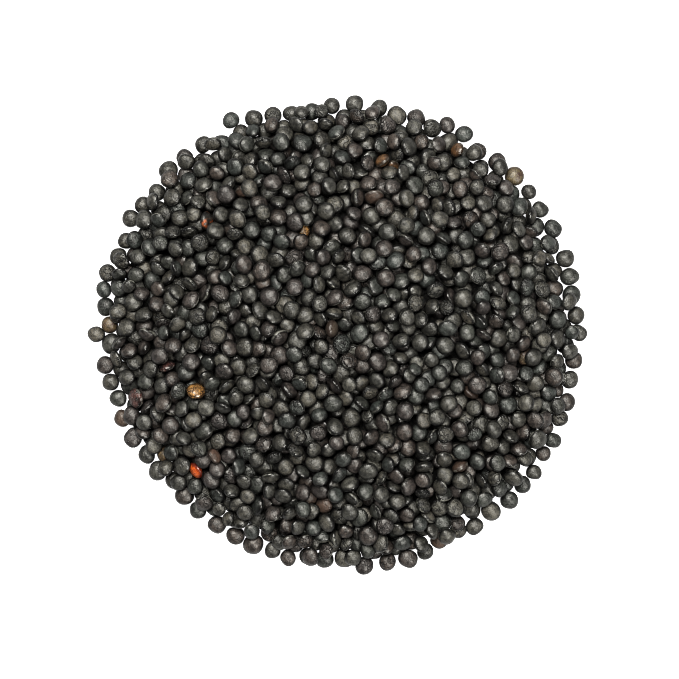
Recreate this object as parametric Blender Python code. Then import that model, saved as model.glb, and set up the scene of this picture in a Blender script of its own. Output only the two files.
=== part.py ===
"""A loose, round heap of dry black lentils, as it lies on a flat surface.

The lentils of the heap's skin are laid one by one on a height map: first a ragged ring that lies
flat on the ground, then the others, each rolled and tilted to where it lies deepest. A core fills the
heap below them. The outermost lentils are fused to the core at their true size with few sides, and
every other lentil that shows well raises a bump of its own size in the core's top.
"""

import bpy
import bmesh
import numpy as np
from mathutils import Matrix, Vector
from mathutils.geometry import delaunay_2d_cdt

# Lentils, in metres
LENTIL_DIAMETER = 0.0041
LENTIL_FLATNESS = 0.56
SIZE_SPREAD = 0.13
THICKNESS_SPREAD = 0.10

# The heap as a whole
HEAP_RADIUS = 0.0565
HEAP_HEIGHT = 0.0145
BED_DEPTH = 0.0056
BED_INSET = 1.2 * LENTIL_DIAMETER
OUTLINE_WAVES = ((1, 0.0115, -0.0010), (2, 0.0110, -0.0120), (3, -0.0060, 0.0090))

# The lentils on the ground: a chain along the outline, those behind it, and a few strays before it
CHAIN_RAGGED = 0.0024
CHAIN_GAP = 0.0016
ONE_TURN = 6.3
GROUND_GAP = 1.01
RIM_WIDTH = 2.6 * LENTIL_DIAMETER
RIM_LENTILS = 160
RIM_WAYS = 14
RIM_LEAN = 0.08
STRAY_LENTILS = 12
STRAY_WAYS = 3
STRAY_REACH = 0.35 * LENTIL_DIAMETER
ROLLS = (0.03, 0.015, 0.008)
ROLL_WAYS = 8

# How a lentil finds its place: how far it moves, how far it tilts and how many places it tries
SETTLING = (
    (0.50 * LENTIL_DIAMETER, 0.75, 32),
    (0.22 * LENTIL_DIAMETER, 0.40, 28),
    (0.10 * LENTIL_DIAMETER, 0.20, 20),
    (0.045 * LENTIL_DIAMETER, 0.10, 16),
    (0.02 * LENTIL_DIAMETER, 0.05, 12),
)
MOST_TILT = 0.92
WEDGED_SHARE = 0.45
WEDGED_HOLD = 0.6
DROPS = 6000
SPOTS_PER_DROP = 24
DROP_INSET = 0.4 * LENTIL_DIAMETER
MOST_MISSES = 260
PROUD = 0.0006
SKIN_INSET = 0.45 * LENTIL_DIAMETER
INSET_PULL = 3

# The height map
CELL = 0.00022
HALF_FIELD = 0.064
REACH_CELLS = 13
SEED = 11

# The lentils fused to the core
GROUNDED = 1.2
RIM_STEP = 0.0010
RIM_SHADOW = 0.45 * LENTIL_DIAMETER
LENTIL_SIDES = 6
CORNER_REACH = 1.07
FLAT_SHARE = 0.55
FLAT_RISE = 0.90

# The core and its bumps
CORE_EDGE_HEIGHT = 0.0011
EDGE_INSET = 0.15
EDGE_MARGIN = 0.0012
BUMPS = 560
BUMP_SPACING = 0.75 * LENTIL_DIAMETER
CROWN_SIDES = 5
CROWN_SHARE = 0.72
CROWN_TURNS = 7
DEEPEST_GAP = 0.0022
GAP_CELLS = 3
WIDEST_GAP = 2.2 * LENTIL_DIAMETER


def polar_outline(x, y):
    """Radius of the heap's outline in the direction of x, y, and the distance of x, y."""
    distance = np.sqrt(x * x + y * y) + 1e-9
    cosine, sine = x / distance, y / distance
    wave_cosine, wave_sine = cosine, sine
    swell = 1.0
    for order, along, across in OUTLINE_WAVES:
        if order > 1:
            wave_cosine, wave_sine = (
                wave_cosine * cosine - wave_sine * sine,
                wave_sine * cosine + wave_cosine * sine,
            )
        swell = swell + along * wave_cosine + across * wave_sine
    return HEAP_RADIUS * swell, distance


def heap_form(x, y):
    """Height of the heap's smooth form: steep at the rim and nearly level on top."""
    outline, distance = polar_outline(x, y)
    share = distance / outline
    fall = np.sqrt(np.maximum(0, 1 - share * share))
    return HEAP_HEIGHT * fall * np.sqrt(np.sqrt(fall))


class Pour:
    """Lays lentils on a height map, so that none cuts another.

    It uses only sums, products and square roots, so every computer lays the same heap.
    """

    def __init__(self):
        self.random = np.random.default_rng(SEED)
        cells = int(round(2 * HALF_FIELD / CELL))
        axis = (np.arange(cells) + 0.5) * CELL - HALF_FIELD
        x, y = np.meshgrid(axis, axis, indexing="ij")
        outline, distance = polar_outline(x, y)
        self.form = heap_form(x, y)
        bed = np.maximum(0, self.form - BED_DEPTH)
        self.height = np.where(distance < outline - BED_INSET, bed, 0.0)
        self.owner = np.full(self.height.shape, -1)
        self.lentils = []
        self.ground = []

    def draw_size(self):
        """Radius and half thickness of the next lentil."""
        draw = self.random.random(4)
        swell = SIZE_SPREAD * (draw[0] + draw[1] + draw[2] - 1.5)
        radius = LENTIL_DIAMETER / 2 * (1 + swell)
        thin = 1 + THICKNESS_SPREAD * (2 * draw[3] - 1)
        return radius, radius * LENTIL_FLATNESS * thin

    def cell_of(self, place):
        return np.floor((place + HALF_FIELD) / CELL).astype(int)

    def faces_over(self, x, y, radius, half, lean):
        """Lower and upper face of one lentil at several places, above its own centre, cell by cell."""
        span = np.arange(-REACH_CELLS, REACH_CELLS + 1)
        rows = self.cell_of(x)[:, None] + span
        columns = self.cell_of(y)[:, None] + span
        dx = ((rows + 0.5) * CELL - HALF_FIELD - x[:, None])[:, :, None]
        dy = ((columns + 0.5) * CELL - HALF_FIELD - y[:, None])[:, None, :]
        round_term = 1 / (radius * radius)
        flat_term = 1 / (half * half) - round_term
        lean_x = lean[:, 0, None, None]
        lean_y = lean[:, 1, None, None]
        lean_z = lean[:, 2, None, None]
        along = lean_x * dx + lean_y * dy
        square = round_term + flat_term * lean_z * lean_z
        linear = flat_term * lean_z * along
        constant = round_term * (dx * dx + dy * dy) + flat_term * along * along - 1
        inside_by = linear * linear - square * constant
        covered = inside_by > 0
        root = np.sqrt(np.where(covered, inside_by, 0))
        return rows, columns, covered, (-linear - root) / square, (-linear + root) / square

    def rest(self, x, y, radius, half, lean):
        """Height at which the lentil's centre comes to rest at each place."""
        rows, columns, covered, low, high = self.faces_over(x, y, radius, half, lean)
        ground = self.height[rows[:, :, None], columns[:, None, :]]
        centre = np.where(covered, ground - low, -1.0).max((1, 2))
        return centre, (rows, columns, covered, high)

    def lay(self, x, y, z, radius, half, lean, patch, chosen):
        """Keeps a lentil, and raises the height map to its upper face."""
        rows, columns, covered, high = (part[chosen] for part in patch)
        cells = np.ix_(rows, columns)
        before = self.height[cells]
        top = z + high
        raised = covered & (top > before)
        self.height[cells] = np.where(raised, top, before)
        self.owner[cells] = np.where(raised, len(self.lentils), self.owner[cells])
        self.lentils.append((x, y, z, radius, half, lean[0], lean[1], lean[2]))

    def directions(self, count):
        """Directions in the plane, drawn in a square and brought to length 1."""
        draw = self.random.random((count, 2)) * 2 - 1
        length = np.sqrt(draw[:, 0] * draw[:, 0] + draw[:, 1] * draw[:, 1])
        poor = (length > 1) | (length < 0.05)
        draw[poor] = (1.0, 0.0)
        length[poor] = 1.0
        return draw / length[:, None]

    def meetings(self, ways, radius):
        """Where on each way through the middle a lentil on the ground would meet the others."""
        x, y, reach = np.array(self.ground).T
        along = ways[:, :1] * x + ways[:, 1:] * y
        aside = ways[:, :1] * y - ways[:, 1:] * x
        room = (radius + reach) * (radius + reach) - aside * aside
        half_way = np.sqrt(np.maximum(room, 0))
        return (room > 0) & (along > 0), along - half_way, along + half_way

    def slide_in(self, ways, radius):
        """How far past the outline a lentil reaches that comes from outside, less is better."""
        outline, _ = polar_outline(ways[:, 0], ways[:, 1])
        met, _, far = self.meetings(ways, radius)
        return np.where(met, far, 0).max(1) + radius - outline

    def slide_out(self, ways, radius):
        """How far short of the outline a lentil stops that comes from inside, less is better."""
        outline, _ = polar_outline(ways[:, 0], ways[:, 1])
        start = (outline - RIM_WIDTH)[:, None]
        met, near, far = self.meetings(ways, radius)
        blocked = (met & (near < start) & (far > start)).any(1)
        stop = np.where(met & (near >= start), near, outline[:, None] - radius).min(1)
        return np.where(blocked, RIM_WIDTH, outline - radius - stop)

    def lay_flat(self, way, far, radius, half):
        """Lays a lentil on the ground at a distance from the middle, leaning a little."""
        x, y = np.array([way[0] * far]), np.array([way[1] * far])
        self.ground.append((x[0], y[0], radius * GROUND_GAP))
        lean = np.zeros((1, 3))
        lean[0, :2] = (self.random.random(2) - 0.5) * 2 * RIM_LEAN
        lean[0, 2] = np.sqrt(1 - lean[0, 0] * lean[0, 0] - lean[0, 1] * lean[0, 1])
        z, patch = self.rest(x, y, radius, half, lean)
        self.lay(x[0], y[0], z[0], radius, half, lean[0], patch, 0)

    def lay_chain(self):
        """Lays the outermost ring, each lentil against the one before it."""
        way, before, turned = (1.0, 0.0), None, 0.0
        while turned < ONE_TURN:
            radius, half = self.draw_size()
            outline, _ = polar_outline(way[0], way[1])
            draw = self.random.random(3)
            far = outline - radius - CHAIN_RAGGED * draw[0] * draw[0]
            if before:
                apart = before[1] + radius + CHAIN_GAP * draw[1] * draw[1]
                cosine = (before[0] * before[0] + far * far - apart * apart) / (2 * before[0] * far)
                sine = np.sqrt(1 - cosine * cosine)
                way = (way[0] * cosine - way[1] * sine, way[1] * cosine + way[0] * sine)
                turned += sine
                x, y, reach = self.ground[0]
                across, up = way[0] * far - x, way[1] * far - y
                closed = across * across + up * up < (radius + reach) * (radius + reach)
                if closed and turned > ONE_TURN / 2:
                    return
            self.lay_flat(way, far, radius, half)
            before = (far, radius * GROUND_GAP)

    def lay_on_ground(self, slide, most, tries):
        """Slides one flat lentil over the ground until it touches, and rolls it round what it met."""
        radius, half = self.draw_size()
        ways = self.directions(tries)
        stop = slide(ways, radius)
        best = int(stop.argmin())
        way, least = ways[best], stop[best]
        for turn in ROLLS:
            near = way + (self.random.random((ROLL_WAYS, 2)) - 0.5) * 2 * turn
            near = near / np.sqrt(near[:, :1] * near[:, :1] + near[:, 1:] * near[:, 1:])
            stop = slide(near, radius)
            closest = int(stop.argmin())
            if stop[closest] < least:
                way, least = near[closest], stop[closest]
        if least < most:
            outline, _ = polar_outline(way[0], way[1])
            side = 1 if slide == self.slide_in else -1
            self.lay_flat(way, outline - radius + side * least, radius, half)

    def settle(self, x, y, radius, half):
        """Moves and tilts a lentil over places nearby and keeps where it lies deepest."""
        best = None
        start = self.random.random(4) * 2 - 1
        wedged = float(start[2] > 1 - 2 * WEDGED_SHARE)
        lean_x, lean_y = wedged * start[0], wedged * start[1]
        for move, tilt, tries in SETTLING:
            tilt = tilt * (1 - WEDGED_HOLD * wedged)
            draw = self.random.random((tries, 4)) * 2 - 1
            near_x, near_y = x + draw[:, 0] * move, y + draw[:, 1] * move
            lean = np.stack([lean_x + draw[:, 2] * tilt, lean_y + draw[:, 3] * tilt, np.zeros(tries)], 1)
            flat = lean[:, 0] * lean[:, 0] + lean[:, 1] * lean[:, 1]
            shorten = np.sqrt(MOST_TILT / np.maximum(flat, MOST_TILT))
            lean[:, 0] *= shorten
            lean[:, 1] *= shorten
            lean[:, 2] = np.sqrt(1 - lean[:, 0] * lean[:, 0] - lean[:, 1] * lean[:, 1])
            z, patch = self.rest(near_x, near_y, radius, half, lean)
            outline, distance = polar_outline(near_x, near_y)
            outside = np.maximum(0, distance + radius + SKIN_INSET - outline)
            depth = z - heap_form(near_x, near_y) + INSET_PULL * outside
            deepest = int(depth.argmin())
            if best is None or depth[deepest] < best[0]:
                x, y = near_x[deepest], near_y[deepest]
                lean_x, lean_y = lean[deepest, 0], lean[deepest, 1]
                best = (depth[deepest], z[deepest], x, y, lean[deepest], patch, deepest)
        return best[1:]

    def rain(self):
        """Drops lentils into the deepest places until the heap reaches its form."""
        misses = 0
        for _ in range(DROPS):
            x, y = (self.random.random((2, SPOTS_PER_DROP)) * 2 - 1) * HALF_FIELD
            outline, distance = polar_outline(x, y)
            rows, columns = self.cell_of(x), self.cell_of(y)
            lack = self.form[rows, columns] - self.height[rows, columns]
            lack = np.where(distance < outline - DROP_INSET, lack, -1.0)
            lowest = int(lack.argmax())
            radius, half = self.draw_size()
            z, x, y, lean, patch, chosen = self.settle(x[lowest], y[lowest], radius, half)
            top = z + half * lean[2] + radius * (1 - lean[2])
            if top > max(heap_form(x, y), 2 * half) + PROUD:
                misses += 1
                if misses > MOST_MISSES:
                    return
                continue
            misses = max(0, misses - 1)
            self.lay(x, y, z, radius, half, lean, patch, chosen)

    def run(self):
        """Lays the whole heap, and returns its lentils and the area that each shows from above."""
        self.lay_chain()
        for _ in range(RIM_LENTILS):
            self.lay_on_ground(self.slide_out, RIM_WIDTH - LENTIL_DIAMETER / 2, RIM_WAYS)
        for _ in range(STRAY_LENTILS):
            self.lay_on_ground(self.slide_in, STRAY_REACH, STRAY_WAYS)
        self.rain()
        lentils = np.array(self.lentils)
        shown = np.bincount(self.owner[self.owner >= 0], minlength=len(lentils)) * CELL * CELL
        return lentils, shown


def middle_of(lentils):
    """Middle of the box round the lentils, seen from above."""
    low = (lentils[:, :2] - lentils[:, 3:4]).min(0)
    high = (lentils[:, :2] + lentils[:, 3:4]).max(0)
    return (low + high) / 2


def clear_scene():
    for item in list(bpy.data.objects):
        bpy.data.objects.remove(item, do_unlink=True)


def lentil_finish():
    """The satin charcoal-black of a dry black lentil's skin."""
    finish = bpy.data.materials.new("black_lentil")
    finish.use_nodes = True
    shader = finish.node_tree.nodes["Principled BSDF"]
    shader.inputs["Base Color"].default_value = (0.045, 0.045, 0.042, 1.0)
    shader.inputs["Roughness"].default_value = 0.45
    shader.inputs["Metallic"].default_value = 0.0
    return finish


def lentil_mesh(radius, half):
    """A lens with few sides: two small flat faces, and a margin with LENTIL_SIDES corners."""
    mesh = bmesh.new()
    rings = []
    for share, level in ((FLAT_SHARE, -FLAT_RISE), (1.0, 0.0), (FLAT_SHARE, FLAT_RISE)):
        ring = []
        for side in range(LENTIL_SIDES):
            turn = Matrix.Rotation(2 * np.pi * side / LENTIL_SIDES, 3, "Z")
            ring.append(mesh.verts.new(turn @ Vector((radius * CORNER_REACH * share, 0, level * half))))
        rings.append(ring)
    mesh.faces.new(rings[0][::-1])
    mesh.faces.new(rings[-1])
    for lower, upper in zip(rings, rings[1:]):
        for side in range(LENTIL_SIDES):
            after = (side + 1) % LENTIL_SIDES
            mesh.faces.new((lower[side], lower[after], upper[after], upper[side]))
    data = bpy.data.meshes.new("lentil")
    mesh.to_mesh(data)
    mesh.free()
    return data


def outermost(lentils):
    """Lentils on the ground that no other one lies in front of, anticlockwise."""
    x, y, z, radius, half = lentils[:, :5].T
    distance = np.sqrt(x * x + y * y)
    grounded = z < GROUNDED * half
    found = []
    for index in np.flatnonzero(grounded):
        along = (x[index] * x + y[index] * y) / distance[index]
        aside = np.abs(x[index] * y - y[index] * x) / distance[index]
        before = grounded & (along > distance[index] + RIM_STEP) & (aside < RIM_SHADOW)
        if not before.any():
            found.append(int(index))
    return sorted(found, key=lambda index: np.arctan2(y[index], x[index]))


class Relief:
    """Points on the heap's skin for the core's top, and the lines of the gaps between lentils."""

    def __init__(self, pour, lentils, shown, rim):
        self.pour = pour
        self.lentils = lentils
        self.turns = np.arctan2(lentils[rim, 1], lentils[rim, 0])
        self.reaches = np.hypot(lentils[rim, 0], lentils[rim, 1]) - EDGE_INSET * lentils[rim, 3]
        self.border = [
            Vector((reach * np.cos(turn), reach * np.sin(turn)))
            for turn, reach in zip(self.turns, self.reaches)
        ]
        self.bumps = self.choose_bumps(shown, set(rim))

    def choose_bumps(self, shown, taken):
        """The lentils that show most, spread evenly over the heap."""
        chosen = []
        for index in np.argsort(-shown, kind="stable"):
            if index in taken or not self.well_inside(*self.lentils[index, :2]):
                continue
            across = self.lentils[chosen, :2] - self.lentils[index, :2]
            if chosen and (across * across).sum(1).min() < BUMP_SPACING * BUMP_SPACING:
                continue
            chosen.append(int(index))
            if len(chosen) == BUMPS:
                break
        return chosen

    def well_inside(self, x, y):
        edge = np.interp(np.arctan2(y, x), self.turns, self.reaches, period=2 * np.pi)
        return np.hypot(x, y) < edge - EDGE_MARGIN

    def gap_height(self, x, y):
        """Lowest height of the skin within a few cells of a place, but not down a deep hole."""
        row, column = int(self.pour.cell_of(x)), int(self.pour.cell_of(y))
        rows = slice(row - GAP_CELLS, row + GAP_CELLS + 1)
        columns = slice(column - GAP_CELLS, column + GAP_CELLS + 1)
        lowest = self.pour.height[rows, columns].min()
        return max(lowest, heap_form(x, y) - DEEPEST_GAP, CORE_EDGE_HEIGHT)

    def crown(self, index):
        """The corners of one lentil's flat top that nothing covers."""
        x, y, z, radius, half, *lean = self.lentils[index]
        tilt = Vector(lean).to_track_quat("Z", "Y").to_matrix()
        rise = half * np.sqrt(1 - CROWN_SHARE * CROWN_SHARE)
        first = index % CROWN_TURNS / CROWN_TURNS
        corners = []
        for side in range(CROWN_SIDES):
            turn = 2 * np.pi * (side + first) / CROWN_SIDES
            across = Vector((np.cos(turn), np.sin(turn), 0)) * radius * CROWN_SHARE
            place = Vector((x, y, z)) + tilt @ (across + Vector((0, 0, rise)))
            owner = self.pour.owner[int(self.pour.cell_of(place.x)), int(self.pour.cell_of(place.y))]
            if owner == index and self.well_inside(place.x, place.y):
                corners.append(place)
        return corners

    def gaps(self):
        """A point low in each gap between three lentils, and the lines that join neighbouring gaps."""
        middles = [Vector(self.lentils[index, :2]) for index in self.bumps]
        flat, _, faces, _, _, _ = delaunay_2d_cdt(middles, [], [], 0, 1e-7)
        points, sides = [], {}
        for face in faces:
            place = sum((flat[corner] for corner in face), Vector((0, 0))) / 3
            widest = max((flat[face[k]] - flat[face[k - 1]]).length for k in range(3))
            if widest > WIDEST_GAP or not self.well_inside(place.x, place.y):
                continue
            for k in range(3):
                side = tuple(sorted((face[k], face[k - 1])))
                sides.setdefault(side, []).append(len(points))
            points.append(place)
        return points, [tuple(pair) for pair in sides.values() if len(pair) == 2]

    def mesh(self):
        """The core: a flat foot, a low upright edge, and a top with a bump for each lentil."""
        count = len(self.border)
        points = list(self.border)
        lines = [(side, (side + 1) % count) for side in range(count)]
        gaps, joins = self.gaps()
        lines += [(count + first, count + second) for first, second in joins]
        points += gaps
        crowns = [corner for index in self.bumps for corner in self.crown(index)]
        points += [corner.xy for corner in crowns]
        flat, _, faces, sources, _, _ = delaunay_2d_cdt(points, lines, [], 1, 1e-6)
        upper, lower = [], []
        mesh = bmesh.new()
        for place, source in zip(flat, sources):
            first = min(source) if source else count
            if first < count:
                height = CORE_EDGE_HEIGHT
                lower.append(mesh.verts.new((place.x, place.y, 0.0)))
            elif first < count + len(gaps):
                height = self.gap_height(place.x, place.y)
            else:
                height = crowns[first - count - len(gaps)].z
            upper.append(mesh.verts.new((place.x, place.y, height)))
        for face in faces:
            mesh.faces.new([upper[corner] for corner in face])
        mesh.faces.new(lower[::-1])
        for side in range(count):
            after = (side + 1) % count
            mesh.faces.new((lower[side], lower[after], upper[after], upper[side]))
        bmesh.ops.delete(mesh, geom=[v for v in mesh.verts if not v.link_faces], context="VERTS")
        bmesh.ops.triangulate(mesh, faces=[face for face in mesh.faces if len(face.verts) > 3])
        bmesh.ops.recalc_face_normals(mesh, faces=mesh.faces)
        data = bpy.data.meshes.new("lentil_heap")
        mesh.to_mesh(data)
        mesh.free()
        return data


def drop_loose_scraps(data):
    """Keeps only the largest of the mesh's bodies."""
    mesh = bmesh.new()
    mesh.from_mesh(data)
    unseen = set(mesh.verts)
    bodies = []
    while unseen:
        waiting = [unseen.pop()]
        body = set(waiting)
        while waiting:
            vertex = waiting.pop()
            for edge in vertex.link_edges:
                other = edge.other_vert(vertex)
                if other in unseen:
                    unseen.discard(other)
                    body.add(other)
                    waiting.append(other)
        bodies.append(body)
    bodies.sort(key=len)
    loose = [vertex for body in bodies[:-1] for vertex in body]
    bmesh.ops.delete(mesh, geom=loose, context="VERTS")
    mesh.to_mesh(data)
    mesh.free()


def build_heap():
    """The core with its fused lentils, as one solid."""
    pour = Pour()
    lentils, shown = pour.run()
    fused = outermost(lentils)
    finish = lentil_finish()
    heap = bpy.data.objects.new("lentil_heap", Relief(pour, lentils, shown, fused).mesh())
    heap.data.materials.append(finish)
    bpy.context.scene.collection.objects.link(heap)
    pieces = bpy.data.collections.new("fused_lentils")
    bpy.context.scene.collection.children.link(pieces)
    for index in fused:
        x, y, z, radius, half, *lean = lentils[index]
        piece = bpy.data.objects.new(f"lentil_{index}", lentil_mesh(radius, half))
        piece.data.materials.append(finish)
        piece.rotation_mode = "QUATERNION"
        piece.rotation_quaternion = Vector(lean).to_track_quat("Z", "Y")
        piece.location = (x, y, z)
        pieces.objects.link(piece)
    union = heap.modifiers.new("fuse_lentils", "BOOLEAN")
    union.operation = "UNION"
    union.operand_type = "COLLECTION"
    union.collection = pieces
    union.solver = "EXACT"
    bpy.context.view_layer.update()
    graph = bpy.context.evaluated_depsgraph_get()
    fused_mesh = bpy.data.meshes.new_from_object(heap.evaluated_get(graph))
    heap.modifiers.clear()
    drop_loose_scraps(fused_mesh)
    heap.data = fused_mesh
    heap.location = (*-middle_of(lentils), 0.0)
    for piece in list(pieces.objects):
        bpy.data.objects.remove(piece, do_unlink=True)
    bpy.data.collections.remove(pieces)
    return heap


clear_scene()
build_heap()
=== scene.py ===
"""Looks of a loose, round heap of small dry black lentils, lying on a plain pale surface.

The seeds are laid one by one by the same rules and from the same named sizes as the heap's solid, so
each seed of the visual model lies where the solid has it. Only those at the rim are then rolled in a
little. Every seed is a lens of its own size, warp and wrinkles. The seeds of one kind are one piece, and
a dark core fills the heap below them.
"""

from __future__ import annotations

import logging
import math
from collections.abc import Callable
from dataclasses import dataclass, field
from enum import Enum
from typing import Any

import bpy
import numpy as np
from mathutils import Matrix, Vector

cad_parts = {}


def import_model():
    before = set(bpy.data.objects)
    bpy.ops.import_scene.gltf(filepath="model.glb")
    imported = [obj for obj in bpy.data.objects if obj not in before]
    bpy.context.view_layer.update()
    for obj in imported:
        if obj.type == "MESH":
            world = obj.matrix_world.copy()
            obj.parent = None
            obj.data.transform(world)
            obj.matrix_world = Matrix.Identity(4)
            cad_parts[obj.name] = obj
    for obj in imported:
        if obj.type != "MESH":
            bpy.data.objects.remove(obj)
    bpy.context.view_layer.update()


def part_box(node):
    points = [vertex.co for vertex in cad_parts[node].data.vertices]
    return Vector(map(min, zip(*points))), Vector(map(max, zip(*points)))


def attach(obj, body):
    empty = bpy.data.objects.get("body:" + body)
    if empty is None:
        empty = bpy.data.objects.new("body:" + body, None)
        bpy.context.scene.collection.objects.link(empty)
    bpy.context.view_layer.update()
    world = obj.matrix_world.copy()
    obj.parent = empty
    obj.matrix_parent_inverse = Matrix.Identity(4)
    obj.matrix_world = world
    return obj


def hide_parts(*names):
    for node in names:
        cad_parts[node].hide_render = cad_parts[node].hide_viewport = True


Array = np.ndarray
Colour = tuple[float, float, float]
Patch = tuple[Array, Array, Array, Array]

HEAP_NODE = "lentil_heap"
HEAP_BODY = "root"
WHITE = (1.0, 1.0, 1.0)
TINY = 1e-9


# Laying the seeds


@dataclass(frozen=True)
class SeedSizes:
    """Sizes of the dry lentils, in metres, and how much they vary."""

    diameter: float = 0.0041
    flatness: float = 0.56
    size_spread: float = 0.13
    thickness_spread: float = 0.10


@dataclass(frozen=True)
class HeapForm:
    """The heap's smooth form: a slightly uneven circle, steep at its rim and nearly level on top.

    Attributes:
        radius: Mean radius of the outline.
        top: Height in the middle.
        bed_depth: How far below the smooth form the seeds' bed is.
        waves: Swells of the outline, each as its order and its shares along and across.
    """

    radius: float = 0.0565
    top: float = 0.0145
    bed_depth: float = 0.0056
    waves: tuple[tuple[int, float, float], ...] = (
        (1, 0.0115, -0.0010),
        (2, 0.0110, -0.0120),
        (3, -0.0060, 0.0090),
    )

    def outline(self, x: Any, y: Any) -> tuple[Any, Any]:
        """Works out how far the outline is from the middle in the direction of a place.

        Args:
            x: Place across the heap.
            y: Place along the heap.

        Returns:
            The outline's distance from the middle, and the place's own.
        """
        distance = np.sqrt(x * x + y * y) + TINY
        cosine, sine = x / distance, y / distance
        wave_cosine, wave_sine = cosine, sine
        swell = 1.0
        for order, along, across in self.waves:
            if order > 1:
                wave_cosine, wave_sine = (
                    wave_cosine * cosine - wave_sine * sine,
                    wave_sine * cosine + wave_cosine * sine,
                )
            swell = swell + along * wave_cosine + across * wave_sine
        return self.radius * swell, distance

    def height(self, x: Any, y: Any) -> Any:
        """Works out the height of the smooth form above a place.

        Args:
            x: Place across the heap.
            y: Place along the heap.

        Returns:
            The height.
        """
        outline, distance = self.outline(x, y)
        share = distance / outline
        fall = np.sqrt(np.maximum(0, 1 - share * share))
        return self.top * fall * np.sqrt(np.sqrt(fall))

    def bed(self, x: Any, y: Any) -> Any:
        """Height of the core that the seeds of the skin lie on."""
        return np.maximum(0, self.height(x, y) - self.bed_depth)


@dataclass(frozen=True)
class RimRules:
    """How the seeds on the ground are laid: a chain along the outline, those behind it, a few strays.

    Attributes:
        ragged: How far inside the outline a seed of the chain may lie.
        gap: Widest gap between two seeds of the chain.
        one_turn: Angle at which the chain has surely gone round.
        ground_gap: Room that each seed takes up, in radii.
        width: Width of the band of seeds on the ground.
        seeds: How many seeds are tried behind the chain.
        ways: How many ways out each of them tries.
        lean: Most lean of a seed on the ground.
        strays: How many seeds come from outside.
        stray_ways: How many ways in each of them tries.
        stray_reach: How far past the outline a stray may reach.
        rolls: Turns by which a seed rolls round what it met, round by round.
        roll_ways: How many turns it tries in each round.
    """

    ragged: float = 0.0024
    gap: float = 0.0016
    one_turn: float = 6.3
    ground_gap: float = 1.01
    width: float = 2.6 * SeedSizes.diameter
    seeds: int = 160
    ways: int = 14
    lean: float = 0.08
    strays: int = 12
    stray_ways: int = 3
    stray_reach: float = 0.35 * SeedSizes.diameter
    rolls: tuple[float, ...] = (0.03, 0.015, 0.008)
    roll_ways: int = 8


@dataclass(frozen=True)
class RainRules:
    """How the other seeds find their place.

    Attributes:
        rounds: Furthest move, most tilt and number of tries of each round.
        most_tilt: Most of a seed's axis that may lie level, squared.
        wedged_share: Share of the seeds that start tilted.
        wedged_hold: How much less those tilt afterwards.
        drops: Most seeds that are dropped.
        spots: How many spots are compared for the lowest one before each drop.
        drop_inset: How far inside the outline a seed drops.
        most_misses: How many seeds may lie too high before the heap is full.
        proud: How far a seed may stand out of the smooth form.
        skin_inset: How far inside the outline a seed should come to rest.
        inset_pull: How strongly that counts against depth.
    """

    rounds: tuple[tuple[float, float, int], ...] = (
        (0.50 * SeedSizes.diameter, 0.75, 32),
        (0.22 * SeedSizes.diameter, 0.40, 28),
        (0.10 * SeedSizes.diameter, 0.20, 20),
        (0.045 * SeedSizes.diameter, 0.10, 16),
        (0.02 * SeedSizes.diameter, 0.05, 12),
    )
    most_tilt: float = 0.92
    wedged_share: float = 0.45
    wedged_hold: float = 0.6
    drops: int = 6000
    spots: int = 24
    drop_inset: float = 0.4 * SeedSizes.diameter
    most_misses: int = 260
    proud: float = 0.0006
    skin_inset: float = 0.45 * SeedSizes.diameter
    inset_pull: float = 3


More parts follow.
